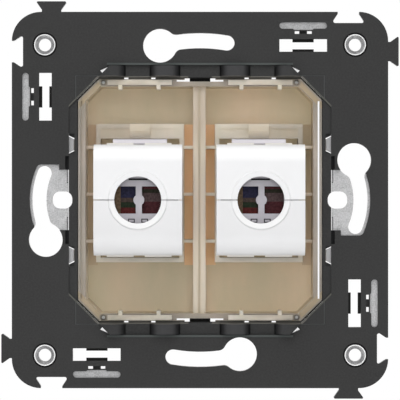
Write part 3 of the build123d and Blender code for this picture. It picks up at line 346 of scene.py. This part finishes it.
class Finish:
    """A node material with one principled shader."""

    def __init__(self, name, metallic=0.0, specular=0.5):
        self.material = bpy.data.materials.new(name)
        self.material.use_nodes = True
        self.nodes = self.material.node_tree.nodes
        self.links = self.material.node_tree.links
        self.shader = self.nodes["Principled BSDF"]
        self.shader.inputs["Metallic"].default_value = metallic
        self.shader.inputs["Specular IOR Level"].default_value = specular
        self.coordinates = self.nodes.new("ShaderNodeTexCoord").outputs["Object"]
        parts = self.node("ShaderNodeSeparateXYZ")
        self.join(self.coordinates, parts.inputs["Vector"])
        self.x, self.y, self.z = parts.outputs
        self.across = self.math("ABSOLUTE", self.x)
        self.up = self.math("ABSOLUTE", self.z)

    def node(self, kind, **settings):
        made = self.nodes.new(kind)
        for key, value in settings.items():
            setattr(made, key, value)
        return made

    def join(self, source, target):
        self.links.new(source, target)

    def give(self, socket, value):
        """Feed a socket with another socket or a plain value."""
        if isinstance(value, bpy.types.NodeSocket):
            self.join(value, socket)
        else:
            socket.default_value = value

    def scaled(self, texture, size, stretch=(1, 1, 1)):
        """Lay a texture on the object with features about this many metres across."""
        mapping = self.node("ShaderNodeMapping")
        mapping.inputs["Scale"].default_value = tuple(share / size for share in stretch)
        texture.inputs["Scale"].default_value = 1.0
        self.join(self.coordinates, mapping.inputs["Vector"])
        self.join(mapping.outputs["Vector"], texture.inputs["Vector"])

    def noise(self, size, detail=3.0, stretch=(1, 1, 1)):
        """Soft noise, 0 to 1."""
        texture = self.node("ShaderNodeTexNoise")
        texture.inputs["Detail"].default_value = detail
        texture.inputs["Roughness"].default_value = NOISE_ROUGHNESS
        self.scaled(texture, size, stretch)
        return texture.outputs["Fac"]

    def cells(self, size):
        """Cells of this many metres that each have one random value."""
        texture = self.node("ShaderNodeTexVoronoi")
        self.scaled(texture, size)
        return texture.outputs["Color"]

    def ramp(self, factor, stops):
        """Colours at places along a 0 to 1 factor."""
        ramp = self.node("ShaderNodeValToRGB")
        elements = ramp.color_ramp.elements
        while len(elements) < len(stops):
            elements.new(position=1.0)
        for element, (place, colour) in zip(elements, stops):
            element.position = place
            element.color = colour
        self.join(factor, ramp.inputs["Fac"])
        return ramp.outputs["Color"]

    def turn(self, factor, tones, places=SOFT_TURN):
        """Two tones, the second where a noise is high."""
        return self.ramp(factor, list(zip(places, tones)))

    def math(self, operation, first, second=0.0, third=0.0):
        """A math node on sockets or plain numbers."""
        made = self.node("ShaderNodeMath", operation=operation)
        for socket, value in zip(made.inputs, (first, second, third)):
            self.give(socket, value)
        return made.outputs["Value"]

    def along(self, value, low, high):
        """0 to 1 from the first value to the second."""
        span = self.node("ShaderNodeMapRange")
        span.inputs["From Min"].default_value = low
        span.inputs["From Max"].default_value = high
        self.join(value, span.inputs["Value"])
        return span.outputs["Result"]

    def between(self, factor, low, high):
        """A number that runs from low to high as a factor runs from 0 to 1."""
        span = self.node("ShaderNodeMapRange")
        span.inputs["To Min"].default_value = low
        span.inputs["To Max"].default_value = high
        self.join(factor, span.inputs["Value"])
        return span.outputs["Result"]

    def within(self, value, low, high):
        """1 between two values, else 0."""
        return self.math("COMPARE", value, (low + high) / 2, (high - low) / 2)

    def above(self, value, limit):
        """1 above a limit, else 0."""
        return self.math("GREATER_THAN", value, limit)

    def below(self, value, limit):
        """1 below a limit, else 0."""
        return self.math("LESS_THAN", value, limit)

    def all_of(self, *masks):
        """Masks multiplied."""
        total = masks[0]
        for mask in masks[1:]:
            total = self.math("MULTIPLY", total, mask)
        return total

    def corner(self):
        """Across and up added, which is the same all along a slanted side."""
        return self.math("ADD", self.across, self.up)

    def distance(self, across, up):
        """How far from a point that lies in all four corners."""
        sideways = self.math("SUBTRACT", self.across, across)
        upwards = self.math("SUBTRACT", self.up, up)
        square = self.math("MULTIPLY", sideways, sideways)
        return self.math("SQRT", self.math("MULTIPLY_ADD", upwards, upwards, square))

    def mix(self, factor, first, second, blend="MIX"):
        """Two colours mixed by a factor, each of them a socket or a plain colour."""
        mix = self.node("ShaderNodeMix", data_type="RGBA", blend_type=blend)
        self.give(mix.inputs["Factor"], factor)
        self.give(mix.inputs[MIX_FIRST], first)
        self.give(mix.inputs[MIX_SECOND], second)
        return mix.outputs[MIX_RESULT]

    def paint(self, tone, colour, *masks):
        """A tone with a colour laid over it where all masks are 1."""
        return self.mix(self.all_of(*masks), tone, colour)

    def tint(self, tone, factor, tints, places=SOFT_TURN):
        """A tone multiplied by two tints that follow a noise."""
        return self.mix(1.0, tone, self.turn(factor, tints, places), "MULTIPLY")

    def colour(self, source):
        self.join(source, self.shader.inputs["Base Color"])

    def glow_through(self, weight, reach, tint):
        """Light scattered inside thin walls."""
        self.shader.inputs["Subsurface Weight"].default_value = weight
        self.shader.inputs["Subsurface Scale"].default_value = reach
        self.shader.inputs["Subsurface Radius"].default_value = tint

    def vary_roughness(self, factor, low, high):
        self.join(self.between(factor, low, high), self.shader.inputs["Roughness"])

    def bump(self, factor, depth, strength):
        bump = self.node("ShaderNodeBump")
        bump.inputs["Distance"].default_value = depth
        bump.inputs["Strength"].default_value = strength
        self.join(factor, bump.inputs["Height"])
        self.join(bump.outputs["Normal"], self.shader.inputs["Normal"])


def shaded_bush_gap(finish):
    """1 in the gap round each corner bush, where a shadow is painted."""
    return finish.below(finish.distance(BUSH_LINE, BUSH_LINE), BUSH_GAP_RADIUS)


def paint_cover_highlights(finish, tone):
    """Painted highlights: a pale line in the fine square groove and on the rims above and below the well.
    """
    tone = finish.paint(tone, FINE_GROOVE_HIGHLIGHT, finish.within(finish.y, *FINE_GROOVE_DEPTHS))
    on_rim = (finish.above(finish.y, RIM_DEPTH), finish.within(finish.up, *RIM_UP))
    return finish.paint(tone, RIM_HIGHLIGHT, *on_rim)


def paint_well_light_and_shade(finish, tone):
    """Painted highlights on the pale slanted edges, half-round bosses with painted shade that darkens them
    towards the ledge, and painted shade in the dark side niches.
    """
    corner = finish.corner()
    on_edge = (
        finish.below(corner, WELL_EDGE_CORNER),
        finish.above(finish.y, WELL_EDGE_DEPTH),
        finish.below(finish.up, LEDGE_LOW),
        finish.below(finish.across, WELL_SIDE),
    )
    tone = finish.paint(tone, WELL_EDGE_HIGHLIGHT, *on_edge)
    shaded_ledge = (
        finish.within(finish.up, *LEDGE_UP),
        finish.above(finish.y, LEDGE_DEPTH),
        finish.below(corner, WELL_CORNER),
        finish.along(finish.across, *LEDGE_ACROSS_FADE),
    )
    knuckle_shade = finish.ramp(finish.along(finish.y, *KNUCKLE_DEPTHS), KNUCKLE_SHADE_TONES)
    tone = finish.paint(tone, knuckle_shade, *shaded_ledge)
    in_niche = (finish.within(finish.across, *NICHE_ACROSS), finish.within(finish.y, *NICHE_DEPTHS))
    return finish.paint(tone, NICHE_SHADE, *in_niche)


def paint_sill_light(finish, tone):
    """Painted light on the pale sill between the ledge and the insert, against the shadow in the gap there.
    """
    on_sill = (
        finish.within(finish.up, *SILL_UP),
        finish.above(finish.across, SILL_ACROSS),
        finish.below(finish.corner(), SILL_CORNER),
    )
    return finish.paint(tone, SILL_LIGHT, *on_sill)


def dark_plastic():
    """Fine-eroded grey-black moulding, with painted shade that makes it blacker in its deep slots, on the
    flanks of its bosses and round the bushes, and painted light on its lines, edges and sill.
    """
    finish = Finish("dark_moulding", specular=0.12)
    grain = finish.noise(size=0.35 * MM, detail=2)
    cloud = finish.noise(size=14 * MM)
    tone = finish.turn(cloud, MOULD_TONES)
    tone = finish.mix(finish.turn(grain, (BLACK, WHITE), GRAIN_TURN), tone, MOULD_GRAIN)
    tone = paint_cover_highlights(finish, tone)
    tone = paint_well_light_and_shade(finish, tone)
    # Painted shade: the moulding turns near-black below the slot depths
    tone = finish.mix(finish.along(finish.y, *SLOT_DEPTHS), SLOT_SHADE, tone)
    tone = paint_sill_light(finish, tone)
    # Painted shadow in the gap round each bush
    finish.colour(finish.paint(tone, BUSH_GAP_SHADOW, shaded_bush_gap(finish)))
    finish.vary_roughness(grain, low=0.52, high=0.7)
    finish.bump(grain, depth=0.02 * MM, strength=0.25)
    return finish.material


def zinc_steel():
    """Galvanised sheet: soft grey flakes, fine speckle, painted shade on its edge faces beside the well,
    painted light in the peeps and a painted shadow round the bushes.
    """
    finish = Finish("galvanised_sheet")
    speckle = finish.noise(size=0.25 * MM, detail=4)
    tone = finish.turn(finish.cells(size=0.9 * MM), FLAKE_TONES, WHOLE_TURN)
    tone = finish.mix(finish.turn(speckle, (BLACK, SPECKLE_SHARE), SPECKLE_TURN), tone, SPECKLE_TONE)
    # Painted shade on the steel's edge faces beside the well
    on_edge_shade = (
        finish.within(finish.y, *EDGE_SHADE_DEPTHS),
        finish.within(finish.across, *EDGE_SHADE_ACROSS),
        finish.below(finish.up, EDGE_SHADE_UP),
    )
    tone = finish.paint(tone, EDGE_SHADE_TONE, *on_edge_shade)
    # Painted light in the peeps, which are also made fully metal and glossier
    lit_peep = finish.all_of(finish.within(finish.across, *PEEP_ACROSS), finish.within(finish.up, *PEEP_UP))
    tone = finish.paint(tone, PEEP_LIGHT, lit_peep)
    on_tongue = (finish.within(finish.across, *TONGUE_ACROSS), finish.within(finish.up, *TONGUE_UP))
    tone = finish.paint(tone, TONGUE_TONE, *on_tongue)
    # Painted shadow in the gap round each bush: black and not metal
    gap = finish.all_of(shaded_bush_gap(finish), finish.above(finish.y, STEEL_GAP_DEPTH))
    finish.colour(finish.paint(tone, BUSH_GAP_SHADOW, gap))
    metal = finish.math("SUBTRACT", finish.between(lit_peep, STEEL_METAL, PEEP_METAL), gap)
    finish.join(metal, finish.shader.inputs["Metallic"])
    rough = finish.between(speckle, *STEEL_ROUGHNESS)
    rough = finish.math("MULTIPLY", rough, finish.between(lit_peep, 1.0, PEEP_ROUGHNESS_SHARE))
    finish.join(rough, finish.shader.inputs["Roughness"])
    finish.bump(speckle, depth=0.02 * MM, strength=0.3)
    return finish.material


def bush_steel():
    """Turned steel: a bright rim round a duller sink with fine wear."""
    finish = Finish("turned_bush", metallic=0.7)
    wear = finish.noise(size=0.4 * MM)
    rim = finish.along(finish.y, *BUSH_RIM_DEPTHS)
    finish.colour(finish.paint(finish.turn(wear, BUSH_TONES), BUSH_RIM_TONE, rim))
    finish.vary_roughness(wear, low=0.22, high=0.4)
    finish.bump(wear, depth=0.01 * MM, strength=0.3)
    return finish.material


def insert_light_and_shade(finish):
    """Tones of the insert's levels from its floor up to its rails, with light and shade painted by depth:
    paler on rib tops and rims, darker between them.
    """
    low = FLOOR_DEPTH - LEVEL_MARGIN
    high = RAIL_DEPTH + LEVEL_MARGIN
    stops = [((depth - low) / (high - low), tone) for depth, tone in INSERT_LIGHT_AND_SHADE_TONES]
    return finish.ramp(finish.along(finish.y, low, high), stops)


def paint_spine(finish, tone):
    """The middle rib with light and shade painted along its length, and painted light on the pale rib ends
    beside it.
    """
    spine_shading = finish.ramp(finish.along(finish.z, *SPINE_LENGTH), SPINE_LIGHT_AND_SHADE_TONES)
    on_spine = (finish.within(finish.y, *SPINE_DEPTHS), finish.below(finish.across, SPINE_ACROSS))
    tone = finish.paint(tone, spine_shading, *on_spine)
    on_rib_end = (finish.within(finish.y, *RIB_DEPTHS), finish.below(finish.across, RIB_END_ACROSS))
    return finish.paint(tone, RIB_END_LIGHT, *on_rib_end)


def paint_bays(finish, tone):
    """Painted light on the paler floor of the right bay, and painted light and shade in warm brown in the
    pockets on both sides of each nest.
    """
    right_floor = (finish.below(finish.x, 0.0), finish.within(finish.y, *RIGHT_FLOOR_DEPTHS))
    tone = finish.paint(tone, RIGHT_FLOOR_LIGHT, *right_floor)
    beside_nest = finish.all_of(finish.within(finish.y, *BAY_DEPTHS), finish.within(finish.z, *NEST_SPAN))
    by_spine = finish.below(finish.across, SPINE_POCKET)
    tone = finish.paint(tone, SPINE_POCKET_SHADING, beside_nest, by_spine)
    by_wall = finish.above(finish.across, OUTER_POCKET)
    return finish.paint(tone, OUTER_POCKET_SHADING, beside_nest, by_wall)


def paint_sides(finish, tone):
    """The flange at the left and right with painted light, paler at mid height, and painted light on the
    bright flank of the wall under it.
    """
    on_flange = (
        finish.within(finish.y, *FLANGE_DEPTHS),
        finish.above(finish.across, SIDE_FLANGE_ACROSS),
        finish.along(finish.up, *SIDE_FLANGE_UP_FADE),
    )
    tone = finish.paint(tone, SIDE_FLANGE_LIGHT, *on_flange)
    on_flank = (finish.within(finish.y, *FLANK_DEPTHS), finish.within(finish.across, *WALL_ACROSS))
    return finish.paint(tone, FLANK_LIGHT, *on_flank)


def paint_nests(finish, tone):
    """Painted light on the rear rims of the nests, paler towards the middle, and on the pale lip below each
    jack, against the cap's shadow.
    """
    on_nest = (finish.within(finish.y, *NEST_DEPTHS), finish.along(finish.across, *NEST_ACROSS_FADE))
    tone = finish.paint(tone, NEST_LIGHT, *on_nest)
    on_lip = (finish.within(finish.y, *LIP_DEPTHS), finish.within(finish.z, *LIP_SPAN))
    return finish.paint(tone, LIP_LIGHT, *on_lip)


def paint_rails(finish, tone):
    """The pale pegs and the rails' bright ends next to the middle."""
    on_peg = (finish.within(finish.up, *PEG_UP), finish.above(finish.y, FLANGE_DEPTH))
    tone = finish.paint(tone, PEG_TONE, *on_peg)
    on_rail_end = (
        finish.above(finish.y, RAIL_END_DEPTH),
        finish.above(finish.up, RAIL_UP),
        finish.along(finish.across, *RAIL_ACROSS_FADE),
        finish.above(finish.across, RAIL_END_ACROSS),
    )
    return finish.paint(tone, RAIL_END_TONE, *on_rail_end)


def paint_flange_edges(finish, tone):
    """The groove on the left, painted lighter against its shadow, and at the slanted corners the brown
    bevel and a painted shadow as the dark seam outside it.
    """
    in_groove = (finish.within(finish.x, *GROOVE_SPAN), finish.within(finish.y, *GROOVE_DEPTHS))
    tone = finish.paint(tone, GROOVE_LIGHT, *in_groove)
    corner = finish.corner()
    on_top = finish.above(finish.y, CORNER_EDGE_DEPTH)
    tone = finish.paint(tone, BEVEL_TONE, finish.within(corner, *BEVEL_CORNER), on_top)
    return finish.paint(tone, SEAM_SHADOW, finish.above(corner, SEAM_CORNER), on_top)


def paint_pins(finish, tone):
    """A painted white glint at the core and a darker ring on each of the four pins."""
    pin = finish.distance(PIN_ACROSS, PIN_UP)
    pin_glint_and_ring = finish.ramp(finish.along(pin, 0, PIN_REACH), PIN_GLINT_AND_RING_TONES)
    on_pin = (finish.below(pin, PIN_REACH), finish.above(finish.y, PIN_DEPTH))
    return finish.paint(tone, pin_glint_and_ring, *on_pin)


def pale_plastic():
    """Thin vanilla moulding that glows where light comes through it, with light and shade painted in:
    browner between its walls, paler on its rims and rib ends.
    """
    finish = Finish("vanilla_moulding", specular=0.2)
    finish.glow_through(weight=0.8, reach=4 * MM, tint=VANILLA_GLOW)
    tone = insert_light_and_shade(finish)
    tone = paint_spine(finish, tone)
    tone = paint_bays(finish, tone)
    tone = paint_sides(finish, tone)
    tone = paint_nests(finish, tone)
    tone = paint_rails(finish, tone)
    tone = paint_flange_edges(finish, tone)
    tone = paint_pins(finish, tone)
    cloud = finish.noise(size=7 * MM, detail=4, stretch=(1.0, 1.0, 0.4))
    finish.colour(finish.tint(tone, cloud, VANILLA_TINTS))
    finish.vary_roughness(cloud, low=0.34, high=0.5)
    finish.bump(finish.noise(size=1.2 * MM), depth=0.02 * MM, strength=0.15)
    return finish.material


def white_plastic():
    """White cap with painted light and shade: darker low down, paler at its top edge, its tabs and the
    collar round the cable hole.
    """
    finish = Finish("white_cap", specular=0.4)
    cloud = finish.noise(size=9 * MM)
    tone = finish.ramp(finish.along(finish.z, *CAP_SPAN), CAP_LIGHT_AND_SHADE_TONES)
    # Painted light on the collar, paler on its lower half, and on its step
    collar = finish.ramp(finish.along(finish.z, *COLLAR_SPAN), COLLAR_LIGHT_TONES)
    tone = finish.paint(tone, collar, finish.above(finish.y, COLLAR_DEPTH))
    on_step = (finish.within(finish.y, *COLLAR_STEP_DEPTHS), finish.above(finish.z, COLLAR_STEP_LOWEST))
    tone = finish.paint(tone, COLLAR_STEP_LIGHT, *on_step)
    # Painted light on the tabs
    tone = finish.paint(tone, TAB_LIGHT, finish.above(finish.up, TAB_UP))
    finish.colour(finish.tint(tone, cloud, CAP_TINTS))
    finish.vary_roughness(cloud, low=0.26, high=0.38)
    finish.bump(finish.noise(size=0.5 * MM, detail=2), depth=0.008 * MM, strength=0.2)
    return finish.material


def grey_plastic():
    """Lavender-grey jack: painted shade, black inside its narrow eyes, paler at the latch."""
    finish = Finish("lavender_grey_housing", specular=0.4)
    cloud = finish.noise(size=3 * MM)
    tone = finish.turn(cloud, HOUSING_TONES)
    # Painted shade inside the eyes
    in_eye = (finish.within(finish.y, *EYE_DEPTHS), finish.within(finish.up, *EYE_UP))
    tone = finish.paint(tone, EYE_SHADE, *in_eye)
    finish.colour(finish.paint(tone, LATCH_TONE, finish.above(finish.z, LATCH_LOWEST)))
    finish.vary_roughness(cloud, low=0.33, high=0.5)
    finish.bump(finish.noise(size=0.4 * MM, detail=2), depth=0.01 * MM, strength=0.2)
    return finish.material


def worn_metal(name, tones, low, high):
    """Plated metal whose tone and gloss vary a little with wear."""
    finish = Finish(name, metallic=1.0)
    wear = finish.noise(size=0.5 * MM)
    finish.colour(finish.turn(wear, tones))
    finish.vary_roughness(wear, low, high)
    return finish.material


def board_green():
    """Green lacquer over a fine weave."""
    finish = Finish("lacquered_board")
    weave = finish.noise(size=0.6 * MM, detail=4)
    finish.colour(finish.turn(weave, BOARD_TONES))
    finish.vary_roughness(weave, low=0.24, high=0.4)
    return finish.material


def stacked_fields(finish, lowest, others):
    """Colour fields above one another, each from its own lower edge up."""
    tone = lowest
    for edge, colour in others:
        tone = finish.paint(tone, colour, finish.above(finish.z, edge))
    return tone


def colour_label(side):
    """Plain colour fields: four on each side of the middle, and a plain margin on the left in the tan of a
    beige strip in painted shade.
    """
    low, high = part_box(f"{side}_colour_label")
    middle = (low.x + high.x) / 2
    finish = Finish(f"{side}_colour_fields", specular=0.1)
    left = stacked_fields(finish, *LABEL_LEFT)
    right = stacked_fields(finish, *LABEL_RIGHT)
    tone = finish.paint(right, left, finish.above(finish.x, middle))
    tone = finish.paint(tone, LABEL_MARGIN_IN_SHADE, finish.above(finish.x, middle + LABEL_MARGIN))
    speckle = finish.noise(size=0.5 * MM)
    finish.colour(finish.tint(tone, speckle, LABEL_TINTS, GRAIN_TURN))
    finish.vary_roughness(speckle, low=0.3, high=0.5)
    return finish.material


def dress(node, material):
    """Give a carried-over node its finish."""
    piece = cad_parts[node]
    if not piece.material_slots:
        piece.data.materials.append(material)
    for slot in piece.material_slots:
        slot.material = material


def dress_nodes():
    """Finishes of the plate, the insert and the pieces of both jacks."""
    dress("steel_plate", zinc_steel())
    dress("rear_cover", dark_plastic())
    dress("corner_bushes", bush_steel())
    dress("front_insert", pale_plastic())
    shared = {
        "jack_housing": grey_plastic(),
        "contact_springs": worn_metal("gold_wire", GOLD_TONES, low=0.18, high=0.34),
        "circuit_board": board_green(),
        "idc_contacts": worn_metal("tinned_fork", TIN_TONES, low=0.25, high=0.45),
        "upper_flap": white_plastic(),
    }
    shared["idc_block"] = shared["jack_housing"]
    shared["lower_flap"] = shared["upper_flap"]
    for side in ("left", "right"):
        for part, material in shared.items():
            dress(f"{side}_{part}", material)
        dress(f"{side}_colour_label", colour_label(side))


def seen_rays(nodes, links):
    """1 for camera, glossy and transmission rays."""
    rays = nodes.new("ShaderNodeLightPath")
    total = rays.outputs["Is Camera Ray"]
    for name in ("Is Glossy Ray", "Is Transmission Ray"):
        highest = nodes.new("ShaderNodeMath")
        highest.operation = "MAXIMUM"
        links.new(total, highest.inputs[0])
        links.new(rays.outputs[name], highest.inputs[1])
        total = highest.outputs["Value"]
    return total


def stage_material():
    """Pale floor that the camera and mirrors see as plain white, and that still takes a shadow."""
    material = bpy.data.materials.new("pale_stage")
    material.use_nodes = True
    nodes, links = material.node_tree.nodes, material.node_tree.links
    shader = nodes["Principled BSDF"]
    shader.inputs["Base Color"].default_value = FLOOR_TONE
    shader.inputs["Roughness"].default_value = FLOOR_ROUGHNESS
    shader.inputs["Emission Color"].default_value = WHITE
    glow = nodes.new("ShaderNodeMath")
    glow.operation = "MULTIPLY"
    glow.inputs[1].default_value = FLOOR_GLOW
    links.new(seen_rays(nodes, links), glow.inputs[0])
    links.new(glow.outputs["Value"], shader.inputs["Emission Strength"])
    return material


def emission(nodes, strength):
    """A white emission shader."""
    shader = nodes.new("ShaderNodeEmission")
    shader.inputs["Strength"].default_value = strength
    return shader.outputs["Emission"]


def backdrop_material():
    """Seen as white by the camera, in reflections and through clear parts, and pale to all else."""
    material = bpy.data.materials.new("white_backdrop")
    material.use_nodes = True
    nodes, links = material.node_tree.nodes, material.node_tree.links
    nodes.clear()
    output = nodes.new("ShaderNodeOutputMaterial")
    mix = nodes.new("ShaderNodeMixShader")
    links.new(seen_rays(nodes, links), mix.inputs["Fac"])
    links.new(emission(nodes, ROOM_LIGHT), mix.inputs[1])
    links.new(emission(nodes, 1.0), mix.inputs[2])
    links.new(mix.outputs["Shader"], output.inputs["Surface"])
    return material


def plane(name, corners, material):
    """A four-cornered sheet of the stage."""
    mesh = bpy.data.meshes.new(name)
    mesh.from_pydata(corners, [], [(0, 1, 2, 3)])
    piece = bpy.data.objects.new(name, mesh)
    bpy.context.scene.collection.objects.link(piece)
    piece.data.materials.append(material)


def stage():
    """Floor and backdrop."""
    half = STAGE_HALF
    floor = [(-half, -half, FLOOR_Z), (half, -half, FLOOR_Z), (half, half, FLOOR_Z), (-half, half, FLOOR_Z)]
    plane("floor", floor, stage_material())
    foot = [(half, BACKDROP_Y, BACKDROP_FOOT), (-half, BACKDROP_Y, BACKDROP_FOOT)]
    head = [(-half, BACKDROP_Y, half), (half, BACKDROP_Y, half)]
    plane("backdrop", foot + head, backdrop_material())


def surroundings():
    """Even light from all round, seen as white and shining more weakly."""
    world = bpy.data.worlds.new("room")
    bpy.context.scene.world = world
    world.use_nodes = True
    nodes, links = world.node_tree.nodes, world.node_tree.links
    background = nodes["Background"]
    background.inputs["Color"].default_value = WHITE
    level = nodes.new("ShaderNodeMapRange")
    level.inputs["To Min"].default_value = ROOM_LIGHT
    level.inputs["To Max"].default_value = 1.0
    links.new(seen_rays(nodes, links), level.inputs["Value"])
    links.new(level.outputs["Result"], background.inputs["Strength"])


def lamp(name, place, size, watts):
    """A square lamp aimed at the object, that shiny surfaces don't mirror."""
    light = bpy.data.lights.new(name, "AREA")
    light.size = size
    light.energy = watts
    piece = bpy.data.objects.new(name, light)
    piece.location = place
    piece.rotation_euler = (-piece.location).to_track_quat("-Z", "Y").to_euler()
    piece.visible_glossy = False
    bpy.context.scene.collection.objects.link(piece)


def lights():
    """All lamps."""
    for name, (place, size, watts) in LAMPS.items():
        lamp(name, place, size, watts)


def camera():
    """The photograph's view."""
    data = bpy.data.cameras.new("photo_view")
    data.angle = 2 * math.atan(VIEW_WIDTH / 2 / CAMERA_DISTANCE)
    data.clip_start = CAMERA_NEAR
    data.clip_end = CAMERA_FAR
    piece = bpy.data.objects.new("photo_view", data)
    piece.location = (0, CAMERA_DISTANCE, 0)
    piece.rotation_euler = CAMERA_TURN
    bpy.context.scene.collection.objects.link(piece)
    bpy.context.scene.camera = piece


bpy.context.scene.view_settings.view_transform = "Standard"
camera()
dress_nodes()
stage()
surroundings()
lights()
